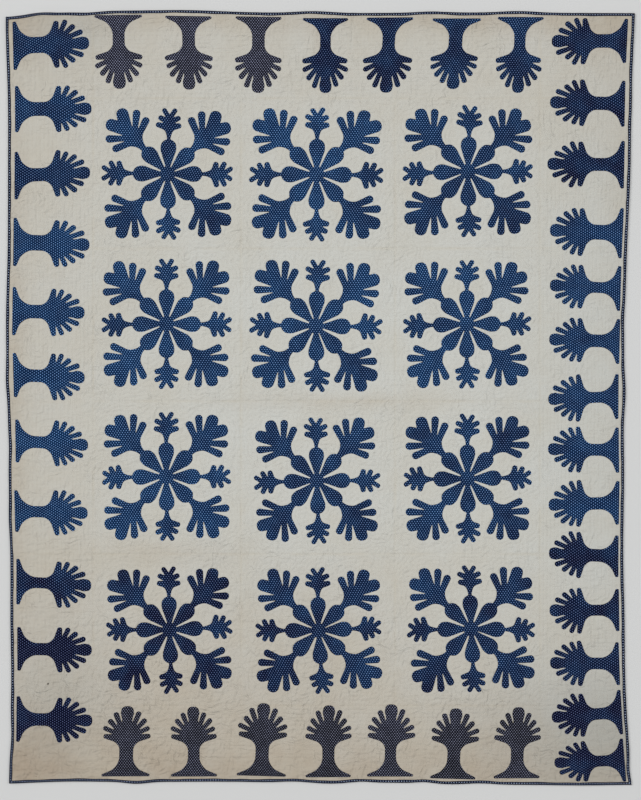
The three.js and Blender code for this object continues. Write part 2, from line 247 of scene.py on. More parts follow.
@dataclass(frozen=True)
class Plan:
    """Half sizes, block seams and the uneven edges of the quilt."""

    half_width: float = 945
    half_length: float = 1165
    seams_x: tuple[float, ...] = (-687, -240, 225, 663)
    seams_y: tuple[float, ...] = (-930, -472, -10, 451, 905)
    middles_x: tuple[float, ...] = (-464, -13, 446)
    middles_y: tuple[float, ...] = (-701, -241, 220, 678)

    def stations(self, side: Side) -> Array:
        """Rising places along an edge at which its unevenness is known."""
        if side.upright:
            return np.sort([-self.half_length, *self.seams_y, *self.middles_y, self.half_length])
        return np.sort([-self.half_width, *self.seams_x, *self.middles_x, self.half_width])

    def line(self, side: Side, place: Array) -> Array:
        """The coordinate across an edge at places along it, without its ripples.

        Args:
            side: Which edge.
            place: Coordinates along the edge.

        Returns:
            Coordinates across it.
        """
        half = self.half_width if side.upright else self.half_length
        out = smooth_line(self.stations(side), np.array(EDGE_OUTS[side], float), np.asarray(place, float))
        return side.outward * (half + out)

    def edge(self, side: Side, place: Array) -> Array:
        """The coordinate across an edge at places along it, with its ripples."""
        swing = sum(out * np.exp(-(((place - at) / reach) ** 2)) for at, reach, out in RIPPLES[side])
        return self.line(side, place) + side.outward * swing

    def inside(self, side: Side, inset: Array, place: Array) -> Array:
        """The coordinate that lies a distance in from an edge, at places along it."""
        return self.edge(side, place) - side.outward * inset

    def seam(self, side: Side) -> float:
        """The seam between the border on this side and the blocks."""
        seams = self.seams_x if side.upright else self.seams_y
        return seams[-1] if side.outward > 0 else seams[0]


PLAN = Plan()


# Outlines of the appliqué


@dataclass(frozen=True)
class Lobe:
    """A leaf's lobe: where its tip is, how far it leans from the leaf's axis, and the slit above it."""

    along: float
    across: float
    lean: float
    width: float
    slit_along: float
    slit_across: float


@dataclass(frozen=True)
class Leaf:
    """A leaf on a petal's end, from its neck to the notch at its tip."""

    neck: Corner
    flare: tuple[Corner, ...]
    lobes: tuple[Lobe, ...]


SMALL_LEAF = Leaf(
    neck=(5, 107, 3),
    flare=((7.5, 121, 60), (13, 135, 16)),
    lobes=(
        Lobe(151.5, 38.5, 68, 14.5, 157, 16),
        Lobe(176.5, 35.5, 58, 15, 175, 12),
        Lobe(201, 19.5, 27, 15, 184, 0),
    ),
)
LARGE_LEAF = Leaf(
    neck=(8.8, 106, 3),
    flare=((11.5, 121, 60), (24, 141, 45)),
    lobes=(
        Lobe(170.5, 75, 66, 24, 162, 25),
        Lobe(209, 66, 50, 25.5, 178, 18),
        Lobe(243, 32, 30, 36, 226, 0),
    ),
)
TREE_FINGERS = (
    Lobe(132, 71, 79, 13.5, 137, 40),
    Lobe(159, 69, 66, 15.5, 150.5, 34.5),
    Lobe(186, 55, 42, 17, 163, 26.5),
    Lobe(211, 36, 17, 16.5, 173, 15),
)


@dataclass(frozen=True)
class CutPiece:
    """Pattern of an appliqué piece, with the small misses of scissors that follow it by hand."""

    cut_reach: float = 3
    cut_angle: float = 2.5
    lobe_seed: float = 0.17
    slit_radius: float = 0.8
    tip_round: float = 0.98
    arc_step: float = 2.6
    straight_step: float = 6

    def lobes(self, lobes: Sequence[Lobe], side: int, seed: float) -> list[Corner]:
        """The lobes on one side of a motif, with the slits between them.

        Args:
            lobes: The lobes' sizes, from the lowest up.
            side: 1 for the right of the axis, -1 for the left.
            seed: Seed of this motif's wander.

        Returns:
            Corners in rising order.
        """
        corners: list[Corner] = []
        for i, lobe in enumerate(lobes):
            lobe_seed = seed + side * (i + 1) * self.lobe_seed
            lean = math.radians(lobe.lean + self.cut_angle * hand_cut(lobe_seed))
            miss = self.cut_reach * hand_cut(lobe_seed + 1)
            tip = np.array([lobe.across + miss * math.sin(lean), lobe.along + miss * math.cos(lean)])
            half = lobe.width / 2
            low = half * np.array([math.cos(lean), -math.sin(lean)])
            corners += [(side * x, y, self.tip_round * half) for x, y in (tip + low, tip - low)]
            if lobe.slit_across > 0:
                corners.append((side * lobe.slit_across, lobe.slit_along, self.slit_radius))
        return corners

    def finish(self, corners: Sequence[Corner]) -> Array:
        """The rounded outline with its straight stretches divided."""
        return spaced(rounded(corners, self.arc_step), self.straight_step)


@dataclass(frozen=True)
class MedallionPattern(CutPiece):
    """Eight petals round a hub, with small leaves on the axes and large ones between them."""

    petals: int = 8
    hub_radius: float = 23
    hub_slit: float = 3.2
    petal_side: tuple[Corner, ...] = ((12.3, 38, 80), (25, 75, 40), (23, 94, 18), (14, 103, 12))

    def petal_half(self, leaf: Leaf, side: int, seed: float) -> list[Corner]:
        """One half of a petal and its leaf, from the slit beside the hub up to beside the leaf's notch."""
        turn = math.pi / self.petals
        across = self.hub_radius * math.sin(turn) - self.hub_slit / 2 * math.cos(turn)
        along = self.hub_radius * math.cos(turn) + self.hub_slit / 2 * math.sin(turn)
        plain = [(across, along, self.hub_slit / 2), *self.petal_side, leaf.neck, *leaf.flare]
        return [(side * x, y, radius) for x, y, radius in plain] + self.lobes(leaf.lobes, side, seed)

    def petal(self, leaf: Leaf, seed: float) -> list[Corner]:
        """A petal with its leaf, from one slit beside the hub to the next."""
        notch = (0.0, leaf.lobes[-1].slit_along, self.slit_radius)
        return [*self.petal_half(leaf, 1, seed), notch, *self.petal_half(leaf, -1, seed)[::-1]]

    def outline(self, turns: Sequence[float], seed: float) -> Array:
        """The whole medallion about its middle.

        Args:
            turns: How far each petal is turned from its even place, in degrees.
            seed: Seed of this medallion's wander.

        Returns:
            Rows of x and y.
        """
        corners: list[Corner] = []
        for petal, off in enumerate(turns):
            leaf = LARGE_LEAF if petal % 2 else SMALL_LEAF
            turn = petal * math.tau / self.petals + math.radians(off)
            for x, y, radius in self.petal(leaf, seed + petal):
                turned_x = x * math.cos(turn) - y * math.sin(turn)
                turned_y = x * math.sin(turn) + y * math.cos(turn)
                corners.append((turned_x, turned_y, radius))
        return self.finish(corners)


@dataclass(frozen=True)
class Tree:
    """One tree: place along the edge, distance in from it, sizes, lean in degrees and shade."""

    place: float
    inset: float
    length: float
    base: float
    trunk: float
    crown: float
    lean: float
    shade: Shade


@dataclass(frozen=True)
class TreePattern(CutPiece):
    """A tree from its base at the quilt's edge to the tip of its crown."""

    length: float = 227
    crown: float = 142
    base_corners: tuple[Corner, ...] = ((1, 0, 2), (3, 6, 3))
    hollow: tuple[Corner, ...] = ((18, 22, 42), (0, 47, 44), (0, 96, 40), (14, 112, 30))
    tip: tuple[Corner, ...] = ((15, 186, 40), (19.5, 205, 14), (17, 222, 14), (7, 228, 14))

    def half(self, tree: Tree, side: int, seed: float) -> list[Corner]:
        """One half of a tree's outline, from the base to beside the tip.

        Args:
            tree: The tree's sizes.
            side: 1 for the right of the axis, -1 for the left.
            seed: Seed of this tree's wander.

        Returns:
            Corners in rising order.
        """
        high, wide = tree.length / self.length, tree.crown / self.crown
        corners: list[Corner] = []
        for out, up, radius in self.base_corners:
            corners.append((side * (tree.base / 2 + out), up, radius))
        for out, up, radius in self.hollow:
            corners.append((side * (tree.trunk / 2 + out), up * high, radius))
        tip = [(side * x, y, radius) for x, y, radius in self.tip]
        for x, y, radius in [*self.lobes(TREE_FINGERS, side, seed), *tip]:
            corners.append((x * wide, y * high, radius))
        return corners

    def outline(self, tree: Tree, seed: float) -> Array:
        """The whole tree, with the middle of its base at the origin and its trunk leaning."""
        upright = self.finish([*self.half(tree, 1, seed), *self.half(tree, -1, seed)[::-1]])
        shear = math.tan(math.radians(tree.lean))
        return np.stack([upright[:, 0] + shear * upright[:, 1], upright[:, 1]], axis=1)


BLUNT_BASE = ((1, 0, 2.5), (2.5, 9, 4))
DARKEST, NAVY, DEEP, MIDDLE, CLEAR = Shade
# Trees of each edge, in the order of the fields of Tree
TREE_ROWS = {
    Side.LEFT: (
        (1063, 18, 229, 142, 49, 146, -1, DEEP), (872, 21, 230, 136, 42, 140, 0, MIDDLE),
        (671, 20, 227, 140, 40, 140, -2.5, DEEP), (471, 17, 229, 142, 47, 144, 1.5, CLEAR),
        (262, 19, 217, 142, 41, 142, 0.5, CLEAR), (69, 19, 214, 130, 38, 142, 3.5, CLEAR),
        (-130, 22, 218, 126, 36, 137, 4, CLEAR), (-342, 16, 219, 122, 34, 137, 3, CLEAR),
        (-555, 18, 225, 134, 33, 139, 3, NAVY), (-758, 21, 224, 128, 37, 138, 1, DARKEST),
        (-970, 19, 228, 134, 38, 136, 0.5, DARKEST),
    ),
    Side.RIGHT: (
        (1078, 20, 226, 130, 41, 142, -2.8, NAVY), (888, 19, 225, 135, 40, 139, 0, NAVY),
        (704, 19, 231, 140, 39, 140, -0.5, NAVY), (497, 15, 219, 148, 45, 146, 0, MIDDLE),
        (330, 15, 213, 132, 33, 137, 1, MIDDLE), (170, 14, 212, 132, 38, 137, 0.5, MIDDLE),
        (4, 15, 211, 132, 33, 138, -2.5, MIDDLE), (-158, 15, 213, 133, 36, 137, 1.5, MIDDLE),
        (-317, 14, 212, 128, 37, 141, -2.5, MIDDLE), (-479, 14, 209, 122, 38, 138, 2.5, NAVY),
        (-641, 13, 209, 124, 33, 138, 0.5, NAVY), (-803, 16, 208, 126, 35, 136, 2.5, NAVY),
        (-949, 15, 211, 131, 35, 132, -1, DARKEST), (-1094, 17, 211, 127, 33, 122, 2, DARKEST),
    ),
    Side.TOP: (
        (-611, 13, 222, 139, 36, 144, -0.5, CLEAR), (-399, 15, 221, 135, 38, 140, -1.5, CLEAR),
        (-187, 13, 229, 134, 38, 144, -0.5, CLEAR), (15, 15, 225, 132, 32, 137, 0, NAVY),
        (210, 14, 226, 136, 38, 145, 3.5, NAVY), (412, 18, 212, 142, 41, 144, 3.5, DEEP),
        (605, 13, 228, 134, 34, 137, 2, DEEP),
    ),
    Side.BOTTOM: (
        (-589, 17, 211, 141, 42, 146, 2, DEEP), (-382, 16, 210, 134, 35, 136, -0.5, DEEP),
        (-179, 19, 219, 144, 40, 148, 0.5, DEEP), (23, 20, 216, 132, 36, 138, 1, DEEP),
        (210, 19, 217, 135, 34, 144, 1, MIDDLE), (399, 17, 212, 132, 39, 144, 1.5, DEEP),
        (592, 20, 214, 134, 38, 138, 2, DEEP),
    ),
}
SLATE_TREES = {Side.TOP: 3, Side.BOTTOM: 7}


@dataclass(frozen=True)
class MedallionPlace:
    """Where a medallion is sewn, its size, its shade and how far its petals turn, in degrees."""

    row: int
    column: int
    x: float
    y: float
    size: float
    shade: Shade
    turns: tuple[float, ...]


MEDALLIONS = tuple(
    MedallionPlace(*row)
    for row in (
        (1, 1, -462, 676, 0.98, MIDDLE, (-2, -2, -1, 1, 1, 1, 0, -1)),
        (1, 2, -12, 675, 1, CLEAR, (-1, -1, 0, 0, 0, -1, -1, 0)),
        (1, 3, 445, 684, 0.98, MIDDLE, (-2, 0, 2, 0, 1, 0, 0, -1)),
        (2, 1, -465, 224, 0.97, CLEAR, (0, 1, 1, 0, 0, -1, -1, 0)),
        (2, 2, -14, 217, 0.985, CLEAR, (-2, -3, -1, -1, 1, -2, -1, -1)),
        (2, 3, 442, 223, 0.955, CLEAR, (0, 0, 2, 2, 0, -1, 0, 1)),
        (3, 1, -466, -238, 0.965, CLEAR, (0, 0, 1, 1, 1, 1, 0, 0)),
        (3, 2, -11, -250, 0.94, MIDDLE, (1, 1, 2, 0, 2, 0, 0, 3)),
        (3, 3, 444, -244, 0.96, MIDDLE, (0, 0, 1, 1, 1, 0, 1, 1)),
        (4, 1, -456, -701, 0.945, NAVY, (1, 1, 0, 0, 2, 2, 3, 2)),
        (4, 2, -6, -703, 0.945, DEEP, (1, 0, 0, 0, 4, 3, 3, 0)),
        (4, 3, 455, -698, 0.955, DEEP, (2, 1, 1, 2, 3, 2, -1, 0)),
    )
)


@dataclass
class CutCloth:
    """One appliqué piece in its place: its node, outline there, print, shade and number of leaves."""

    node: str
    ground: str
    outline: Array
    turn: float
    cloth: Cloth
    shade: Shade
    seed: float
    leaves: int = 1


def block_name(row: int, column: int) -> str:
    """The name of the ground panel of a block."""
    return f"ground_block_r{row}_c{column}"


def border_name(side: Side) -> str:
    """The name of the ground panel of a border."""
    return f"ground_border_{side.value}"


class Appliques:
    """Every appliqué piece, counted in the order in which it is laid."""

    PIECE_SEED = 10
    FACING = {Side.BOTTOM: 0.0, Side.RIGHT: math.pi / 2, Side.TOP: math.pi, Side.LEFT: -math.pi / 2}

    def __init__(self, plan: Plan) -> None:
        """Lays out the medallions and then the trees of each edge."""
        self.plan = plan
        self.cut = 0
        self.pieces = [*self.medallions()]
        for side, row in TREE_ROWS.items():
            self.pieces += self.trees(side, [Tree(*sizes) for sizes in row])

    def next_seed(self) -> float:
        """The seed of the next piece."""
        self.cut += 1
        return self.cut * self.PIECE_SEED

    def medallions(self) -> Iterator[CutCloth]:
        """The medallions, one to a block."""
        pattern = MedallionPattern()
        for place in MEDALLIONS:
            seed = self.next_seed()
            outline = placed(pattern.outline(place.turns, seed), place.size, 0.0, (place.x, place.y))
            node = f"medallion_r{place.row}_c{place.column}"
            ground = block_name(place.row, place.column)
            leaves = pattern.petals
            yield CutCloth(node, ground, outline, 0.0, Cloth.INDIGO, place.shade, seed, leaves)

    def trees(self, side: Side, row: Sequence[Tree]) -> Iterator[CutCloth]:
        """The trees that stand along one edge, square to it, with their crowns inwards.

        Args:
            side: The edge.
            row: Its trees.

        Yields:
            Each tree in its place.
        """
        pattern = TreePattern(base_corners=BLUNT_BASE) if side.upright else TreePattern()
        for n, tree in enumerate(row):
            seed = self.next_seed()
            first, middle, last = self.plan.line(side, tree.place + np.array([-0.5, 0, 0.5]) * tree.base)
            base = float(middle - side.outward * tree.inset)
            slope = math.atan((last - first) / tree.base)
            turn = self.FACING[side] + (-slope if side.upright else slope)
            at = (base, tree.place) if side.upright else (tree.place, base)
            outline = placed(pattern.outline(tree, seed), 1.0, turn, at)
            cloth = Cloth.SLATE if n < SLATE_TREES.get(side, 0) else Cloth.INDIGO
            node = f"tree_{side.value}_{n + 1:02d}"
            yield CutCloth(node, border_name(side), outline, turn, cloth, tree.shade, seed)


class OutlineField:
    """Distance from the nearest edge of any appliqué piece."""

    SAMPLE_STEP = 1.6

    def __init__(self, outlines: Iterable[Array]) -> None:
        """Samples the outlines and keeps each sample's direction outwards."""
        samples, outs = [], []
        for outline in outlines:
            points = spaced(outline, self.SAMPLE_STEP)
            run = np.roll(points, -1, axis=0) - np.roll(points, 1, axis=0)
            out = np.stack([run[:, 1], -run[:, 0]], axis=1)
            samples.append(points)
            outs.append(out / np.linalg.norm(out, axis=1)[:, None])
        self.samples = np.concatenate(samples)
        self.outs = np.concatenate(outs)
        self.tree = KDTree(len(self.samples))
        for i, (x, y) in enumerate(self.samples):
            self.tree.insert((x, y, 0), i)
        self.tree.balance()

    def distance(self, x: Array, y: Array) -> Array:
        """Distance from the nearest outline, positive on the ground and negative under a piece.

        Args:
            x: Coordinates to the right.
            y: Coordinates up the quilt.

        Returns:
            Signed distances.
        """
        found = [self.tree.find((px, py, 0)) for px, py in zip(x.tolist(), y.tolist())]
        index = np.array([hit[1] for hit in found])
        length = np.array([hit[2] for hit in found])
        off = np.stack([x, y], axis=1) - self.samples[index]
        return np.where((off * self.outs[index]).sum(axis=1) >= 0, length, -length)


# The quilted ground


@dataclass(frozen=True)
class Crease:
    """A soft trough, or a ridge where its depth is negative, along a straight stretch."""

    x0: float
    y0: float
    x1: float
    y1: float
    width: float
    depth: float
    end_share: float = 0.04

    def height(self, x: Array, y: Array) -> Array:
        """How far the crease lifts each point."""
        run = np.array([self.x1 - self.x0, self.y1 - self.y0])
        t = ((x - self.x0) * run[0] + (y - self.y0) * run[1]) / (run @ run)
        inside = np.clip(t, 0, 1)
        away = np.hypot(x - self.x0 - inside * run[0], y - self.y0 - inside * run[1])
        fade = np.sin(math.pi * np.clip(t, self.end_share, 1 - self.end_share)) ** 0.5
        return -self.depth * fade * np.exp(-((away / self.width) ** 2))


# Creases that show: by the last trees of the top edge, and at the slack corner at the lower left
CREASES = tuple(
    Crease(*row)
    for row in (
        (462, 938, 532, 1052, 5.5, 1.6), (453, 946, 524, 1060, 6, -1.2), (388, 930, 470, 962, 8, 1.0),
        (-942, -1150, -884, -1082, 11, 1.7), (-925, -1158, -856, -1092, 11, -1.3),
        (-880, -1152, -790, -1096, 9, 1.2), (-800, -1140, -640, -1118, 8, 0.9),
        (-870, -1040, -740, -1070, 9, 0.8), (-852, -985, -826, -900, 8, 0.8),
        (-790, 300, -762, 420, 9, 0.7), (742, -560, 760, -430, 9, 0.7), (300, 440, 352, 462, 8, 0.8),
        (-250, -20, -210, -2, 8, 0.8),
    )
)


@dataclass(frozen=True)
class SoilAndShadePatch:
    """A soft patch: yellowing of the cotton, and also painted shade where the light falls off."""

    x: float
    y: float
    reach_x: float
    reach_y: float
    strength: float

    def amount(self, x: Array, y: Array) -> Array:
        """How strong the patch is at each point."""
        away = ((x - self.x) / self.reach_x) ** 2 + ((y - self.y) / self.reach_y) ** 2
        return self.strength * np.exp(-away)


SOILED = tuple(
    SoilAndShadePatch(*row)
    for row in (
        (0, -1250, 1500, 520, 0.42), (0, 1300, 1600, 520, 0.2), (-1000, 100, 450, 1400, 0.18),
        (-950, -600, 330, 260, 0.14), (1000, 900, 260, 380, 0.12), (-500, -1000, 260, 260, 0.18),
        (520, -1080, 140, 160, 0.15), (-60, -720, 330, 260, 0.1), (-890, -1120, 130, 150, 0.5),
        (0, -1150, 900, 110, 0.2), (860, -1140, 200, 120, 0.2), (-900, 1130, 120, 90, 0.25),
        (860, 1130, 150, 90, 0.25), (500, 1150, 260, 45, 0.25), (-300, 1150, 700, 40, 0.18),
        (0, 1090, 28, 110, 0.12), (30, -880, 50, 140, 0.08), (-930, 100, 40, 900, 0.2),
        (925, -100, 45, 950, 0.2), (-450, -470, 190, 40, 0.15), (60, -10, 330, 26, 0.15),
    )
)
# Painted shade: neutral dark patches where the light falls off, at three corners and down the right border
PAINTED_FALLOFF_SHADE = tuple(
    SoilAndShadePatch(*row)
    for row in (
        (860, -1010, 320, 190, 0.42), (1000, 0, 350, 1200, 0.15), (-800, -930, 150, 170, 0.25),
        (-740, 1110, 120, 90, 0.25),
    )
)


@dataclass(frozen=True)
class Quilting:
    """Relief of the quilted ground, and where its sewn lines run."""

    plan: Plan
    field: OutlineField
    pitch: float = 12.2
    sewn: float = 4.05
    depth: float = 0.8
    border_depth: float = 0.4
    fullness: float = 0.7
    under: float = 0.12
    rim_inset: float = 1.4
    rim_top: float = 3.6
    binding_width: float = 9.3
    seam_reach: float = 4
    # Height, then length and phase across and along
    slow: tuple[float, ...] = (0.25, 83, 1.3, 97, 0.4)
    # Height, lengths across and along, and phase
    cross: tuple[tuple[float, ...], ...] = ((0.15, 41, 67, 2.1), (0.12, 58, -39, 0.7))
    # Height, then length, bend and length of the bend, across and along
    fine: tuple[float, Wave, Wave] = (0.06, (17, 1.7, 53), (19, 1.5, 47))

    def wave(self, x: Array, y: Array) -> Array:
        """The slow unevenness of cloth that lies by its own weight, with its creases."""
        high, x_long, x_phase, y_long, y_phase = self.slow
        slow = high * np.sin(x / x_long + x_phase) * np.sin(y / y_long + y_phase)
        cross = sum(high * np.sin(x / across + y / up + phase) for high, across, up, phase in self.cross)
        high, (x_long, x_bend, x_turn), (y_long, y_bend, y_turn) = self.fine
        fine = high * np.sin(x / x_long + x_bend * np.sin(y / x_turn))
        fine = fine * np.sin(y / y_long + y_bend * np.sin(x / y_turn))
        return slow + cross + fine + sum(crease.height(x, y) for crease in CREASES)

    def lines(self, side: Side) -> int:
        """How many sewn lines a border has."""
        half = self.plan.half_width if side.upright else self.plan.half_length
        return round((half - abs(self.plan.seam(side))) / self.pitch)

    def insets(self, x: Array, y: Array) -> dict[Side, Array]:
        """Distance in from each edge."""
        insets = {}
        for side in Side:
            across, along = (x, y) if side.upright else (y, x)
            insets[side] = side.outward * (self.plan.edge(side, along) - across)
        return insets

    def ring(self, x: Array, y: Array) -> Array:
        """Count of sewn lines in from the nearest edge, in a border."""
        counts = []
        for side, inset in self.insets(x, y).items():
            edge = self.plan.edge(side, y if side.upright else x)
            width = side.outward * (edge - self.plan.seam(side))
            counts.append(inset / width * self.lines(side))
        return np.min(counts, axis=0)

    def seam_distance(self, x: Array, y: Array) -> Array:
        """Distance from the nearest seam of a block."""
        from_x = np.min([np.abs(x - seam) for seam in self.plan.seams_x], axis=0)
        from_y = np.min([np.abs(y - seam) for seam in self.plan.seams_y], axis=0)
        return np.minimum(from_x, from_y)

    def surface(self, x: Array, y: Array, is_block: bool) -> tuple[Array, Array]:
        """Height of the ground and the count of sewn lines there.

        Args:
            x: Coordinates to the right.
            y: Coordinates up the quilt.
            is_block: Whether the points lie in a block, where the lines echo the medallion.

        Returns:
            Heights, and counts that are whole on a sewn line.
        """
        away = self.field.distance(x, y)
        count = np.maximum(away, 0) / self.pitch if is_block else self.ring(x, y)
        puff = np.abs(np.sin(math.pi * count)) ** self.fullness
        if is_block:
            puff = puff * ease(self.seam_distance(x, y) / self.seam_reach)
        else:
            puff = puff * ease(away / self.seam_reach)
        depth = self.depth if is_block else self.border_depth
        height = self.sewn + depth * puff - self.under * ease(1 - away) + self.wave(x, y)
        inset = np.min(list(self.insets(x, y).values()), axis=0)
        return np.where(inset < self.binding_width, self.rim_top, height), count

    def soil(self, x: Array, y: Array) -> Array:
        """How far the cotton has yellowed."""
        return np.clip(sum(patch.amount(x, y) for patch in SOILED), 0, 1)

    def painted_falloff(self, x: Array, y: Array) -> Array:
        """How much painted shade darkens the cotton where the light falls off."""
        return sum(patch.amount(x, y) for patch in PAINTED_FALLOFF_SHADE)


def close_below(bm: BMesh, floor: float) -> None:
    """Closes a sheet with straight sides and a flat underside, and keeps its rims crisp.

    Args:
        bm: The sheet, face up.
        floor: Height of the underside.
    """
    rim = [edge for edge in bm.edges if edge.is_boundary]
    made = bmesh.ops.extrude_edge_only(bm, edges=rim)["geom"]
    for item in made:
        if isinstance(item, bmesh.types.BMVert):
            item.co.z = floor
    lower = [item for item in made if isinstance(item, bmesh.types.BMEdge) and item.is_boundary]
    bmesh.ops.edgeloop_fill(bm, edges=lower)
    bmesh.ops.recalc_face_normals(bm, faces=bm.faces)
    for edge in [*rim, *lower]:
        edge.smooth = False


def set_attribute(mesh: Mesh, name: str, values: Array) -> None:
    """Gives a mesh a number at each point, with 0 at points past the values given."""
    full = np.zeros(len(mesh.vertices), np.float32)
    full[: len(values)] = values
    mesh.attributes.new(name, "FLOAT", "POINT").data.foreach_set("value", full)


def set_print(mesh: Mesh, uv: Array) -> None:
    """Gives a mesh a UV map of the print, from a place on the cloth for each point."""
    corners = np.zeros(len(mesh.loops), np.int32)
    mesh.loops.foreach_get("vertex_index", corners)
    layer = mesh.uv_layers.new(name="print")
    layer.uv.foreach_set("vector", (uv[corners] * MM).astype(np.float32).ravel())


def linked(name: str, data: bpy.types.ID) -> Piece:
    """A new object in the scene, at the origin."""
    made = bpy.data.objects.new(name, data)
    bpy.context.scene.collection.objects.link(made)
    return made


def piece_from(bm: BMesh, name: str, material: Material) -> Piece:
    """A finished piece at the origin.

    Args:
        bm: The shape in millimetres, which is freed.
        name: The piece's name.
        material: Its finish.

    Returns:
        The object.
    """
    bmesh.ops.scale(bm, vec=(MM, MM, MM), verts=bm.verts)
    for face in bm.faces:
        face.smooth = True
    mesh = bpy.data.meshes.new(name)
    bm.to_mesh(mesh)
    bm.free()
    mesh.materials.append(material)
    return linked(name, mesh)


def stand_for(piece: Piece, node: str, cloth: Cloth) -> None:
    """Says that a piece rides with the quilt, which node it replaces."""
    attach(piece, ROOT)
    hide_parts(node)


@dataclass
class Ground:
    """The quilted body, as one panel for each block and each border."""

    plan: Plan
    quilting: Quilting
    finish: Material
    block_step: float = 3.35
    along_step: float = 6.2
    parts_of_pitch: int = 3

    def stations(self, sides: tuple[Side, Side], low: float, high: float) -> list[Corner]:
        """Rows across a border panel that runs from one edge to the other.

        Args:
            sides: The low and the high edge.
            low: Seam next to the low edge.
            high: Seam next to the high edge.

        Returns:
            Rows of the share of the low edge, the share of the high edge, and a fixed part.
        """
        low_count, high_count = (self.quilting.lines(side) * self.parts_of_pitch for side in sides)
        shares = np.linspace(1, 0, low_count, endpoint=False)
        rows = [(share, 0.0, (1 - share) * low) for share in shares]
        places = np.linspace(low, high, round((high - low) / self.along_step), endpoint=False)
        rows += [(0.0, 0.0, place) for place in places]
        rows += [(0.0, share, (1 - share) * high) for share in np.linspace(0, 1, high_count + 1)]
        return rows

    def panel(self, name: str, x: Array, y: Array, shape: tuple[int, int]) -> Piece:
        """A quilted panel on a grid of points.

        Args:
            name: The panel's name.
            x: Coordinates to the right, row by row.
            y: Coordinates up the quilt, row by row.
            shape: Points in a row, and rows.

        Returns:
            The panel.
        """
        bm = bmesh.new()
        bmesh.ops.create_grid(bm, x_segments=shape[0] - 1, y_segments=shape[1] - 1, size=0.5)
        height, count = self.quilting.surface(x, y, is_block="block" in name)
        for vert, px, py, pz in zip(bm.verts, x.tolist(), y.tolist(), height.tolist()):
            vert.co = (px, py, pz)
        close_below(bm, 0.0)
        piece = piece_from(bm, name, self.finish)
        set_attribute(piece.data, "quilting", count)
        set_attribute(piece.data, "soil", self.quilting.soil(x, y))
        # Painted shade where the light falls off, as a number at each point
        set_attribute(piece.data, "painted_falloff", self.quilting.painted_falloff(x, y))
        from_seam = self.quilting.seam_distance(x, y) / self.quilting.seam_reach
        set_attribute(piece.data, "seam", np.exp(-(from_seam**2)))
        return piece

    def block(self, row: int, column: int) -> Piece:
        """The panel of one block, counted from the upper left."""
        left, right = self.plan.seams_x[column - 1 : column + 1]
        seams = self.plan.seams_y[::-1]
        top, bottom = seams[row - 1 : row + 1]
        across = np.linspace(left, right, round((right - left) / self.block_step) + 1)
        up = np.linspace(bottom, top, round((top - bottom) / self.block_step) + 1)
        x, y = np.meshgrid(across, up)
        return self.panel(block_name(row, column), x.ravel(), y.ravel(), (len(across), len(up)))

    def side_border(self, side: Side) -> Piece:
        """The panel of the left or right border, over the whole length of the quilt."""
        rows = self.stations((Side.BOTTOM, Side.TOP), self.plan.seams_y[0], self.plan.seams_y[-1])
        count = self.quilting.lines(side) * self.parts_of_pitch + 1
        across = np.linspace(0, 1, count)
        if side is Side.RIGHT:
            across = across[::-1]
        share, station = (a.ravel() for a in np.meshgrid(across, np.arange(len(rows))))
        low, high, fixed = np.array(rows)[station].T
        rim = self.quilting.rim_inset
        seam = self.plan.seam(side)
        x = np.full(len(share), seam) + (1 - share) * (side.outward * self.plan.half_width - seam)
        y = fixed
        for _ in range(SETTLING):
            bottom, top = self.plan.inside(Side.BOTTOM, rim, x), self.plan.inside(Side.TOP, rim, x)
            y = low * bottom + high * top + fixed
            x = share * seam + (1 - share) * self.plan.inside(side, rim, y)
        return self.panel(border_name(side), x, y, (count, len(rows)))

    def end_border(self, side: Side) -> Piece:
        """The panel of the top or bottom border, between the side borders."""
        low, high = self.plan.seams_x[0], self.plan.seams_x[-1]
        places = np.linspace(low, high, round((high - low) / self.along_step) + 1)
        count = self.quilting.lines(side) * self.parts_of_pitch + 1
        shares = np.linspace(0, 1, count)
        if side is Side.TOP:
            shares = shares[::-1]
        x, share = (a.ravel() for a in np.meshgrid(places, shares))
        edge = self.plan.inside(side, self.quilting.rim_inset, x)
        y = share * self.plan.seam(side) + (1 - share) * edge
        return self.panel(border_name(side), x, y, (len(places), count))

    def build(self) -> list[Piece]:
        """All panels, each riding with the quilt in place of its body."""
        panels = [self.block(place.row, place.column) for place in MEDALLIONS]
        panels += [self.side_border(Side.LEFT), self.side_border(Side.RIGHT)]
        panels += [self.end_border(Side.BOTTOM), self.end_border(Side.TOP)]
        for panel in panels:
            stand_for(panel, "body", Cloth.CREAM)
        return panels


# Cloth cut out and sewn down


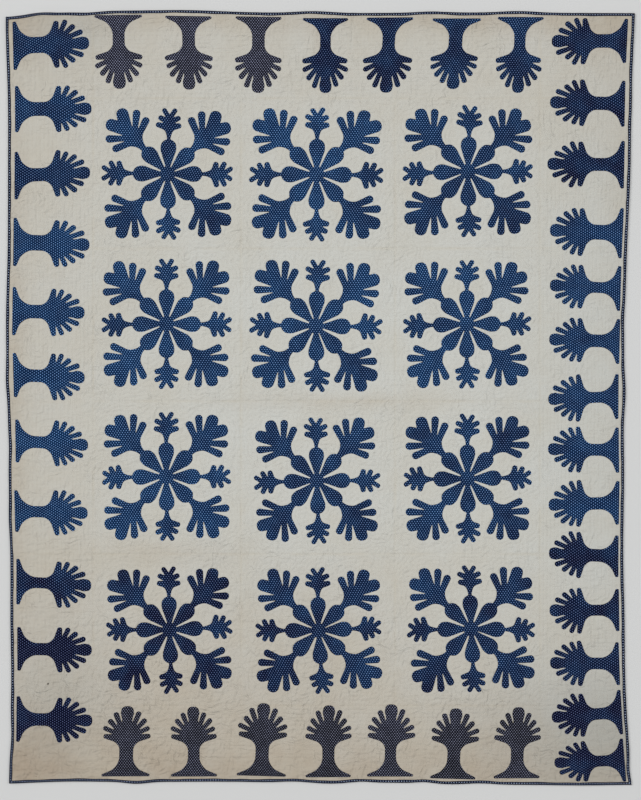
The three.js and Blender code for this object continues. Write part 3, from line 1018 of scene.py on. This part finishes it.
@dataclass
class SewnDown:
    """Makes appliqué pieces of thin cloth with the edge turned under, puffed a little over the ground."""

    quilting: Quilting
    finishes: dict[Cloth, Material]
    fold: float = 1.1
    score: float = 8
    edge_height: float = 0.45
    crown: float = 1.1
    crown_reach: float = 5
    print_wander: float = 2.6
    print_wander_lengths: tuple[float, float] = (37, 43)
    print_tilt: float = 6
    tilt_seed: float = 3
    leaf_wear: float = 0.32
    leaf_reach: float = 130
    leaf_seed: float = 5
    leaf_seed_step: float = 0.3
    score_snap: float = 0.02

    def worn(self, cut: CutCloth, points: Array) -> Array:
        """How much paler or darker a piece's leaves are than its shade.

        Args:
            cut: The piece.
            points: Rows of x and y on it.

        Returns:
            The difference at each point, none where the piece has one leaf.
        """
        if cut.leaves == 1:
            return np.zeros(len(points))
        off = points - (cut.outline.min(axis=0) + cut.outline.max(axis=0)) / 2
        place = np.arctan2(off[:, 1], off[:, 0]) / math.tau * cut.leaves
        seeds = [cut.seed + self.leaf_seed + self.leaf_seed_step * leaf for leaf in range(cut.leaves)]
        wear = np.array([hand_cut(seed) for seed in seeds])
        wear = self.leaf_wear * (wear - wear.mean())
        share = np.clip(np.hypot(*off.T) / self.leaf_reach, 0, 1)
        return share * np.interp(place, np.arange(cut.leaves), wear, period=cut.leaves)

    def scored(self, bm: BMesh, low: Array, high: Array) -> None:
        """Divides the cloth by a grid of cuts, so that it can follow the ground.

        Args:
            bm: The flat cloth.
            low: Lowest corner of its box.
            high: Highest corner of its box.
        """
        for axis in (0, 1):
            normal = Vector((1, 0, 0)) if axis == 0 else Vector((0, 1, 0))
            count = round((high[axis] - low[axis]) / self.score)
            for place in np.linspace(low[axis], high[axis], count + 1)[1:-1]:
                geom = [*bm.verts, *bm.edges, *bm.faces]
                at = normal * float(place)
                bmesh.ops.bisect_plane(bm, geom=geom, dist=self.score_snap, plane_co=at, plane_no=normal)

    def build(self, cut: CutCloth) -> Piece:
        """One piece, sewn down in its place.

        Args:
            cut: The piece's outline, print and shade.

        Returns:
            The object.
        """
        bm = bmesh.new()
        ring = [bm.verts.new((x, y, 0)) for x, y in cut.outline.tolist()]
        cloth = bm.faces.new(ring)
        bmesh.ops.inset_region(bm, faces=[cloth], thickness=self.fold, use_even_offset=True)
        self.scored(bm, cut.outline.min(axis=0), cut.outline.max(axis=0))
        flat = np.array([vert.co[:2] for vert in bm.verts])
        x, y = flat.T
        inside = np.maximum(-OutlineField([cut.outline]).distance(x, y), 0)
        base = self.quilting.sewn + self.quilting.wave(x, y)
        height = base + self.edge_height + self.crown * (1 - np.exp(-inside / self.crown_reach))
        for vert, pz in zip(bm.verts, height.tolist()):
            vert.co.z = pz
        close_below(bm, self.quilting.sewn - self.quilting.under)
        piece = piece_from(bm, cut.node + "_cloth", self.finishes[cut.cloth])
        self.dress(piece, cut, flat, inside)
        return piece

    def dress(self, piece: Piece, cut: CutCloth, flat: Array, inside: Array) -> None:
        """Lays the print and fade on a piece and hides the part of the model that it stands for.

        Args:
            piece: The piece.
            cut: Its outline, print and shade.
            flat: Place of each point of its face.
            inside: Distance of each point from its edge.
        """
        mesh = piece.data
        points = np.zeros(len(mesh.vertices) * 3, np.float32)
        mesh.vertices.foreach_get("co", points)
        points = points.reshape(-1, 3)[:, :2] / MM
        tilt = math.radians(self.print_tilt * hand_cut(cut.seed + self.tilt_seed)) - cut.turn
        wander = np.sin(points[:, ::-1] / self.print_wander_lengths + cut.seed)
        set_print(mesh, placed(points, 1.0, tilt, (0.0, 0.0)) + self.print_wander * wander)
        set_attribute(mesh, "inside", inside)
        set_attribute(mesh, "fade", cut.shade.value + self.worn(cut, points))
        stand_for(piece, cut.node, cut.cloth)
        after = np.roll(cut.outline, -1, axis=0)


# Binding


@dataclass
class Binding:
    """The strip folded over the raw edge, one length to a side, with mitred ends."""

    plan: Plan
    finish: Material
    width: float = 9
    cloth: float = 0.9
    height: float = 5.3
    roll: float = 2.2
    sag: float = 0.2
    edge_round: float = 0.3
    upper_round: float = 0.5
    inner_round: float = 0.8
    arc_step: float = 0.9
    flat_step: float = 3.0
    step: float = 7
    mitre_gap: float = 0.15
    weld: float = 0.001
    end_ease: float = 40
    # Height, length and phase of the inner edge's waves
    waver: tuple[Wave, ...] = ((0.5, 31, 0), (0.4, 13, 1))
    # Height, short and long length, and phase of the face's ripple
    lift: tuple[float, ...] = (0.22, 9.5, 41, 2)

    def section(self) -> Array:
        """The folded strip's section, as rows of distance in from the edge and height."""
        top = self.height - self.sag
        outer = [
            (self.width, 0.0, self.edge_round),
            (0.0, 0.0, self.roll),
            (0.0, self.height, self.roll),
            (self.width, top, self.upper_round),
            (self.width, top - self.cloth, self.edge_round),
            (self.cloth, self.height - self.cloth, self.inner_round),
            (self.cloth, self.cloth, self.inner_round),
            (self.width, self.cloth, self.edge_round),
        ]
        return spaced(rounded(outer, self.arc_step), self.flat_step)

    def build(self, side: Side) -> Piece:
        """The strip of one side.

        Args:
            side: The edge that it covers.

        Returns:
            The object.
        """
        section = self.section()
        half = self.plan.half_length if side.upright else self.plan.half_width
        spans = round(2 * half / self.step)
        bm = bmesh.new()
        bmesh.ops.create_grid(bm, x_segments=spans, y_segments=len(section), size=0.5)
        share = np.array([vert.co.x for vert in bm.verts]) + 0.5
        turn = np.rint((np.array([vert.co.y for vert in bm.verts]) + 0.5) * len(section)).astype(int)
        inset, height = section[turn % len(section)].T
        low, high = (Side.BOTTOM, Side.TOP) if side.upright else (Side.LEFT, Side.RIGHT)
        along = (2 * share - 1) * half
        across = self.plan.inside(side, inset, along)
        for _ in range(SETTLING):
            start = self.plan.inside(low, inset + self.mitre_gap, across)
            end = self.plan.inside(high, inset + self.mitre_gap, across)
            along = start + share * (end - start)
            wander = sum(high * np.sin(along / length + phase) for high, length, phase in self.waver)
            slack = ease(inset / self.width) * ease(share * (1 - share) * self.end_ease)
            across = self.plan.inside(side, inset + wander * slack, along)
        rise, short, long, phase = self.lift
        lift = rise * np.sin(along / short) * np.sin(along / long + phase) * (height > self.height / 2)
        x, y = (across, along) if side.upright else (along, across)
        for vert, px, py, pz in zip(bm.verts, x.tolist(), y.tolist(), (height + lift).tolist()):
            vert.co = (px, py, pz)
        around = np.concatenate([[0], np.cumsum(np.hypot(*np.diff(section, axis=0).T))])
        round_it = np.append(around, around[-1] + np.hypot(*(section[0] - section[-1])))
        return self.dress(bm, side, np.stack([along, round_it[turn]], axis=1))

    def dress(self, bm: BMesh, side: Side, cloth_place: Array) -> Piece:
        """Closes a rolled strip and lays the print on it.

        Args:
            bm: The rolled grid.
            side: The edge that it covers.
            cloth_place: Place of each point on the flat strip.

        Returns:
            The object.
        """
        uv_layer = bm.loops.layers.uv.new("print")
        bm.verts.index_update()
        for face in bm.faces:
            for loop in face.loops:
                loop[uv_layer].uv = cloth_place[loop.vert.index] * MM
        bmesh.ops.remove_doubles(bm, verts=bm.verts, dist=self.weld)
        bmesh.ops.edgeloop_fill(bm, edges=[edge for edge in bm.edges if edge.is_boundary])
        bmesh.ops.recalc_face_normals(bm, faces=bm.faces)
        piece = piece_from(bm, f"binding_{side.value}_cloth", self.finish)
        set_attribute(piece.data, "fade", np.full(len(piece.data.vertices), Shade.MIDDLE.value))
        stand_for(piece, f"binding_{side.value}", Cloth.BINDING)
        return piece


# Finishes

SHEEN = 0.04


@dataclass(frozen=True)
class Mottle:
    """Soft noise, its scale counted per metre, eased from one range of values to another."""

    scale: float
    detail: float
    roughness: float
    low: float
    high: float
    to_low: float
    to_high: float


@dataclass(frozen=True)
class Streaks:
    """Noise drawn out both ways, with a scale per metre and a share of it along the streak for each."""

    down_scale: float
    down_share: float
    across_scale: float
    across_share: float
    detail: float
    roughness: float


class Graph:
    """A material's nodes, with short calls that add and join them."""

    def __init__(self, name: str) -> None:
        """Starts a material with an empty shader of its own."""
        self.material = bpy.data.materials.new(name)
        self.material.use_nodes = True
        self.tree = self.material.node_tree
        self.shader = self.tree.nodes["Principled BSDF"]

    def join(self, socket: Socket, value: object) -> None:
        """Joins a socket to another one or sets it; None leaves it as it is."""
        if isinstance(value, Socket):
            self.tree.links.new(value, socket)
        elif value is not None:
            socket.default_value = (*value, 1) if socket.type == "RGBA" else value

    def node(self, kind: str, inputs: Sequence[object] = (), **settings: object) -> bpy.types.Node:
        """A node with its settings, and its inputs joined or set in order.

        Args:
            kind: The node's type.
            inputs: Sockets to join or values to set; None leaves one as it is.
            settings: The node's own properties.

        Returns:
            The node.
        """
        made = self.tree.nodes.new(kind)
        for key, value in settings.items():
            setattr(made, key, value)
        for socket, value in zip(made.inputs, inputs):
            self.join(socket, value)
        return made

    def math(self, operation: str, *inputs: object) -> Socket:
        """A sum or function of numbers."""
        return self.node("ShaderNodeMath", inputs, operation=operation).outputs[0]

    def vector(self, operation: str, *inputs: object) -> Socket:
        """A sum or function of vectors."""
        out = self.node("ShaderNodeVectorMath", inputs, operation=operation).outputs
        return out["Value"] if operation == "LENGTH" else out["Vector"]

    def noise(self, place: Socket, scale: float, detail: float = 2.0, roughness: float = 0.5) -> Socket:
        """Soft noise between 0 and 1 at a place."""
        made = self.node("ShaderNodeTexNoise")
        named = {"Vector": place, "Scale": scale, "Detail": detail, "Roughness": roughness}
        for key, value in named.items():
            self.join(made.inputs[key], value)
        return made.outputs[0]

    def ranged(self, value: Socket, low: float, high: float, to_low: float, to_high: float) -> Socket:
        """A number eased from one range to another."""
        inputs = (value, low, high, to_low, to_high)
        return self.node("ShaderNodeMapRange", inputs, interpolation_type="SMOOTHSTEP").outputs[0]

    def mottle(self, place: Socket, kind: Mottle) -> Socket:
        """Noise in patches of one kind."""
        noise = self.noise(place, kind.scale, kind.detail, kind.roughness)
        return self.ranged(noise, kind.low, kind.high, kind.to_low, kind.to_high)

    def streaks(self, place: Socket, kind: Streaks) -> Socket:
        """The mean of streaks down and across."""
        down = self.vector("MULTIPLY", place, (1.0, kind.down_share, 1.0))
        across = self.vector("MULTIPLY", place, (kind.across_share, 1.0, 1.0))
        down = self.noise(down, kind.down_scale, kind.detail, kind.roughness)
        across = self.noise(across, kind.across_scale, kind.detail, kind.roughness)
        return self.math("MULTIPLY", self.math("ADD", down, across), 0.5)

    def weave(self, place: Socket, pitch: float) -> Socket:
        """Threads over and under each other, a pitch in millimetres apart."""
        turn = math.tau / (pitch * MM)
        axes = self.node("ShaderNodeSeparateXYZ", (place,)).outputs[:2]
        warp, weft = (self.math("SINE", self.math("MULTIPLY", axis, turn)) for axis in axes)
        return self.math("MULTIPLY", warp, weft)

    def mix(self, share: Socket, first: object, second: object) -> Socket:
        """A colour between two colours."""
        made = self.node("ShaderNodeMix", data_type="RGBA")
        for key, value in ((0, share), (6, first), (7, second)):
            self.join(made.inputs[key], value)
        return made.outputs[2]

    def attribute(self, name: str) -> Socket:
        """A number that the mesh carries."""
        return self.node("ShaderNodeAttribute", attribute_name=name).outputs["Fac"]

    def object_place(self) -> Socket:
        """The place on the object."""
        return self.node("ShaderNodeTexCoord").outputs["Object"]

    def print_place(self) -> Socket:
        """The place on the flat printed cloth."""
        return self.node("ShaderNodeUVMap", uv_map="print").outputs[0]

    def finish(self, colour: Socket, height: Socket, roughness: float) -> Material:
        """Joins colour and relief to the shader.

        Args:
            colour: Base colour.
            height: Relief in millimetres.
            roughness: Roughness all over.

        Returns:
            The material.
        """
        bump = self.node("ShaderNodeBump")
        for key, value in {"Strength": 1.0, "Distance": MM, "Height": height}.items():
            self.join(bump.inputs[key], value)
        named = {"Normal": bump.outputs[0], "Base Color": colour}
        named |= {"Roughness": roughness, "Specular IOR Level": SHEEN}
        for key, value in named.items():
            self.join(self.shader.inputs[key], value)
        return self.material


@dataclass(frozen=True)
class CreamCotton:
    """Aged plain-weave cotton with hand quilting."""

    clean: Colour = (0.598, 0.602, 0.562)
    warm: Colour = (0.560, 0.525, 0.435)
    soiled: Colour = (0.400, 0.325, 0.245)
    # Colour of the painted shade where the light falls off
    falloff_shade_colour: Colour = (0.300, 0.320, 0.310)
    spot: Colour = (0.050, 0.042, 0.032)
    spots: tuple[Corner, ...] = ((-823, -864, 5.0), (-859, -1144, 3.4))
    spot_grain: float = 260.0
    spot_uneven: float = 4
    spot_edge: float = 1
    spot_strength: float = 0.9
    spread: Mottle = Mottle(11.0, 5, 0.6, 0.2, 0.8, 0.8, 1.2)
    cloud: Mottle = Mottle(5.0, 4, 0.5, 0.3, 0.75, 0.0, 0.4)
    seam_soil: Mottle = Mottle(9.0, 3, 0.5, 0.3, 0.7, 0.0, 0.5)
    crinkles: Streaks = Streaks(90.0, 0.38, 88.0, 0.44, 1, 0.4)
    crinkle_height: float = 5.8
    bend_grain: float = 16.0
    bend: float = 0.05
    slack: Mottle = Mottle(7.0, 2, 0.5, 0.35, 0.65, 0.6, 1.4)
    slack_of_soil: float = 1.5
    slubs: Streaks = Streaks(190.0, 0.12, 190.0, 0.12, 2, 0.5)
    slub_tone: tuple[float, ...] = (0.35, 0.7, 0.0, 0.1)
    slub_height: float = 0.12
    sewn_fullness: float = 0.6
    sewn_height: float = 0.15
    stitch_line: tuple[float, ...] = (0.12, 0.34, 1.0, 0.0)
    stitch_gaps: Mottle = Mottle(330.0, 1, 0.5, 0.44, 0.52, 0.0, 1.0)
    stitch_tone: float = 0.3
    stitch_height: float = -0.12
    thread_pitch: float = 0.9
    thread_height: float = 0.02
    roughness: float = 0.9

    def build(self) -> Material:
        """The material, with stains, painted shade where the light falls off, seams, sewn lines and weave.
        """
        graph = Graph("cream_cotton")
        place = graph.object_place()
        soil = graph.math("MULTIPLY", graph.attribute("soil"), graph.mottle(place, self.spread))
        yellowed = graph.math("MINIMUM", graph.math("ADD", graph.mottle(place, self.cloud), soil), 1.0)
        seam = graph.math("MULTIPLY", graph.attribute("seam"), graph.mottle(place, self.seam_soil))
        slubs = graph.streaks(place, self.slubs)
        sewn = self.sewn(graph)
        stitch = self.stitches(graph, place, sewn)
        colour = graph.mix(yellowed, self.clean, self.warm)
        for share, tone in (
            (seam, self.warm),
            (graph.math("MINIMUM", soil, 1.0), self.soiled),
            # Painted shade where the light falls off
            (graph.attribute("painted_falloff"), self.falloff_shade_colour),
            (self.spotted(graph, place), self.spot),
            (graph.ranged(slubs, *self.slub_tone), self.soiled),
            (graph.math("MULTIPLY", stitch, self.stitch_tone), self.soiled),
        ):
            colour = graph.mix(share, colour, tone)
        relief = graph.math("MULTIPLY", sewn, self.sewn_height)
        for layer, height in (
            (graph.weave(place, self.thread_pitch), self.thread_height),
            (slubs, self.slub_height),
            (self.pucker(graph, place), self.crinkle_height),
            (stitch, self.stitch_height),
        ):
            relief = graph.math("ADD", relief, graph.math("MULTIPLY", layer, height))
        return graph.finish(colour, relief, self.roughness)

    def spotted(self, graph: Graph, place: Socket) -> Socket:
        """Near 1 in the middle of a small dark spot and 0 outside it."""
        flat = graph.vector("MULTIPLY", place, (1.0, 1.0, 0.0))
        uneven = graph.math("MULTIPLY", graph.noise(place, self.spot_grain), self.spot_uneven * MM)
        marks = []
        for x, y, radius in self.spots:
            away = graph.vector("LENGTH", graph.vector("SUBTRACT", flat, (x * MM, y * MM, 0.0)))
            away = graph.math("ADD", away, uneven)
            inner, outer = (radius - self.spot_edge) * MM, (radius + self.spot_edge) * MM
            marks.append(graph.ranged(away, inner, outer, self.spot_strength, 0.0))
        return graph.math("MAXIMUM", *marks)

    def pucker(self, graph: Graph, place: Socket) -> Socket:
        """Small bent crinkles of washed cotton, in patches and stronger where it is slack."""
        bend = graph.math("MULTIPLY", graph.noise(place, self.bend_grain, 1), self.bend)
        crinkles = graph.streaks(graph.vector("ADD", place, bend), self.crinkles)
        patches = graph.mottle(place, self.slack)
        slack = graph.math("MULTIPLY_ADD", graph.attribute("soil"), self.slack_of_soil, patches)
        return graph.math("MULTIPLY", crinkles, slack)

    def stitches(self, graph: Graph, place: Socket, sewn: Socket) -> Socket:
        """Short hand stitches along the sewn lines."""
        line = graph.ranged(sewn, *self.stitch_line)
        return graph.math("MULTIPLY", line, graph.mottle(place, self.stitch_gaps))

    def sewn(self, graph: Graph) -> Socket:
        """Relief of the quilting, 0 on a sewn line and 1 between two of them."""
        turn = graph.math("MULTIPLY", graph.attribute("quilting"), math.pi)
        wave = graph.math("ABSOLUTE", graph.math("SINE", turn))
        return graph.math("POWER", wave, self.sewn_fullness)


@dataclass(frozen=True)
class DotPrint:
    """Cotton printed with small pale dots in staggered rows."""

    name: str
    dark: Colour
    faded: Colour
    dark_dot: Colour
    faded_dot: Colour
    in_row: float
    between_rows: float
    radius: float
    soft: float = 0.5
    most_faded: float = 1.4
    worn: Mottle = Mottle(11.0, 3, 0.6, 0.25, 0.75, -0.32, 0.32)
    strength: Mottle = Mottle(85.0, 2, 0.5, 0.3, 0.7, 0.7, 1.05)
    thread_pitch: float = 0.8
    thread_height: float = 0.02
    pucker: tuple[float, ...] = (55.0, 3, 0.6)
    pucker_height: float = 0.3
    roughness: float = 0.85

    def build(self) -> Material:
        """The material, with its dots, fading and weave."""
        graph = Graph(self.name)
        cloth = graph.print_place()
        place = graph.object_place()
        faded = graph.math("ADD", graph.attribute("fade"), graph.mottle(place, self.worn))
        fade = graph.node("ShaderNodeMapRange", (faded, 0.0, self.most_faded, 0.0, 1.0)).outputs[0]
        ground = graph.mix(fade, self.dark, self.faded)
        dot = graph.mix(fade, self.dark_dot, self.faded_dot)
        share = graph.math("MULTIPLY", self.dots(graph, cloth), graph.mottle(place, self.strength))
        weave = graph.math("MULTIPLY", graph.weave(cloth, self.thread_pitch), self.thread_height)
        pucker = graph.math("MULTIPLY", graph.noise(place, *self.pucker), self.pucker_height)
        return graph.finish(graph.mix(share, ground, dot), graph.math("ADD", weave, pucker), self.roughness)

    def dots(self, graph: Graph, cloth: Socket) -> Socket:
        """1 in a dot and 0 between the dots."""
        cell = (self.in_row * MM, 2 * self.between_rows * MM, 1.0)
        counted = graph.vector("DIVIDE", cloth, cell)
        ways = []
        for offset in ((0.0, 0.0, 0.0), (0.5, 0.5, 0.0)):
            part = graph.vector("FRACTION", graph.vector("ADD", counted, offset))
            middle = graph.vector("SUBTRACT", part, (0.5, 0.5, 0.0))
            ways.append(graph.vector("LENGTH", graph.vector("MULTIPLY", middle, (cell[0], cell[1], 0.0))))
        away = graph.math("MINIMUM", *ways)
        return graph.ranged(away, (self.radius - self.soft) * MM, (self.radius + self.soft) * MM, 1.0, 0.0)


INDIGO_PRINT = DotPrint(
    name="indigo_print",
    dark=(0.001, 0.002, 0.015),
    faded=(0.0024, 0.023, 0.080),
    dark_dot=(0.139, 0.171, 0.327),
    faded_dot=(0.263, 0.505, 0.904),
    in_row=8.0,
    between_rows=5.85,
    radius=1.3,
)
SLATE_PRINT = DotPrint(
    name="slate_print",
    dark=(0.003, 0.003, 0.004),
    faded=(0.0072, 0.0072, 0.0152),
    dark_dot=(0.179, 0.185, 0.241),
    faded_dot=(0.382, 0.407, 0.570),
    in_row=7.8,
    between_rows=4.9,
    radius=1.38,
)
BINDING_PRINT = DotPrint(
    name="binding_print",
    dark=(0.001, 0.002, 0.010),
    faded=(0.0024, 0.0062, 0.0268),
    dark_dot=(0.20, 0.25, 0.36),
    faded_dot=(0.508, 0.60, 0.78),
    in_row=7.9,
    between_rows=8.7,
    radius=1.46,
)


# Studio


@dataclass(frozen=True)
class Softbox:
    """A large soft light that faces the quilt."""

    name: str
    at: tuple[float, float, float]
    size: tuple[float, float]
    power: float


@dataclass(frozen=True)
class Studio:
    """Pale floor, soft light, and a camera straight above the quilt."""

    floor_half: float = 60_000
    floor_colour: Colour = (0.66, 0.66, 0.65)
    floor_roughness: float = 0.9
    floor_drop: float = 0.3
    sky: Colour = (0.95, 0.97, 1.0)
    photo_size: tuple[int, int] = (641, 800)
    millimetres_per_pixel: float = 3.02
    look_at_y: float = -6.6
    face_height: float = 5
    lens: float = 85.0
    sensor: float = 36.0
    ambient: float = 0.37
    lights: tuple[Softbox, ...] = (
        Softbox("light_left", (-15.0, 8.0, 13.0), (9.0, 10.0), 2200),
        Softbox("light_right", (16.0, -3.0, 13.0), (9.0, 10.0), 1040),
        Softbox("light_over", (0.2, 0.1, 6.8), (3.0, 3.0), 92),
    )

    def floor(self) -> None:
        """The plain floor under the quilt."""
        bm = bmesh.new()
        bmesh.ops.create_grid(bm, x_segments=2, y_segments=2, size=self.floor_half)
        paper = Graph("floor_paper")
        paper.join(paper.shader.inputs["Base Color"], self.floor_colour)
        paper.join(paper.shader.inputs["Roughness"], self.floor_roughness)
        floor = piece_from(bm, "floor", paper.material)
        floor.location.z = -self.floor_drop * MM

    def light(self) -> None:
        """Softboxes and an even pale world."""
        for box in self.lights:
            data = bpy.data.lights.new(box.name, "AREA")
            data.shape = "RECTANGLE"
            data.size, data.size_y = box.size
            data.energy = box.power
            lamp = linked(box.name, data)
            lamp.location = box.at
            lamp.rotation_mode = "QUATERNION"
            lamp.rotation_quaternion = (-Vector(box.at)).to_track_quat("-Z", "Y")
            lamp.visible_camera = False
        world = bpy.data.worlds.new("studio")
        world.use_nodes = True
        background = world.node_tree.nodes["Background"]
        background.inputs["Color"].default_value = (*self.sky, 1)
        background.inputs["Strength"].default_value = self.ambient
        bpy.context.scene.world = world

    def camera(self) -> None:
        """The camera, as far above the quilt's face as its lens needs."""
        data = bpy.data.cameras.new("camera")
        data.lens = self.lens
        data.sensor_width = self.sensor
        camera = linked("camera", data)
        tall = max(self.photo_size) * self.millimetres_per_pixel
        above = tall * self.lens / self.sensor + self.face_height
        camera.location = (0, self.look_at_y * MM, above * MM)
        bpy.context.scene.camera = camera

    def build(self) -> None:
        """Sets up the whole studio."""
        self.floor()
        self.light()
        self.camera()
        settings = bpy.context.scene.view_settings
        settings.view_transform = "Standard"
        settings.look = "None"


def report(piece: Piece) -> None:
    """Logs a piece and its count of faces."""
    log.info("%s: %d faces", piece.name, len(piece.data.polygons))


def main() -> None:
    """Builds the quilt piece by piece."""
    logging.basicConfig(level=logging.INFO, format="%(name)s: %(message)s")
    Studio().build()
    appliques = Appliques(PLAN)
    field = OutlineField(piece.outline for piece in appliques.pieces)
    quilting = Quilting(PLAN, field)
    for panel in Ground(PLAN, quilting, CreamCotton().build()).build():
        report(panel)
    finishes = {Cloth.INDIGO: INDIGO_PRINT.build(), Cloth.SLATE: SLATE_PRINT.build()}
    sewing = SewnDown(quilting, finishes)
    for cut in appliques.pieces:
        report(sewing.build(cut))
    binding = Binding(PLAN, BINDING_PRINT.build())
    for side in Side:
        report(binding.build(side))


if __name__ == "__main__":
    main()
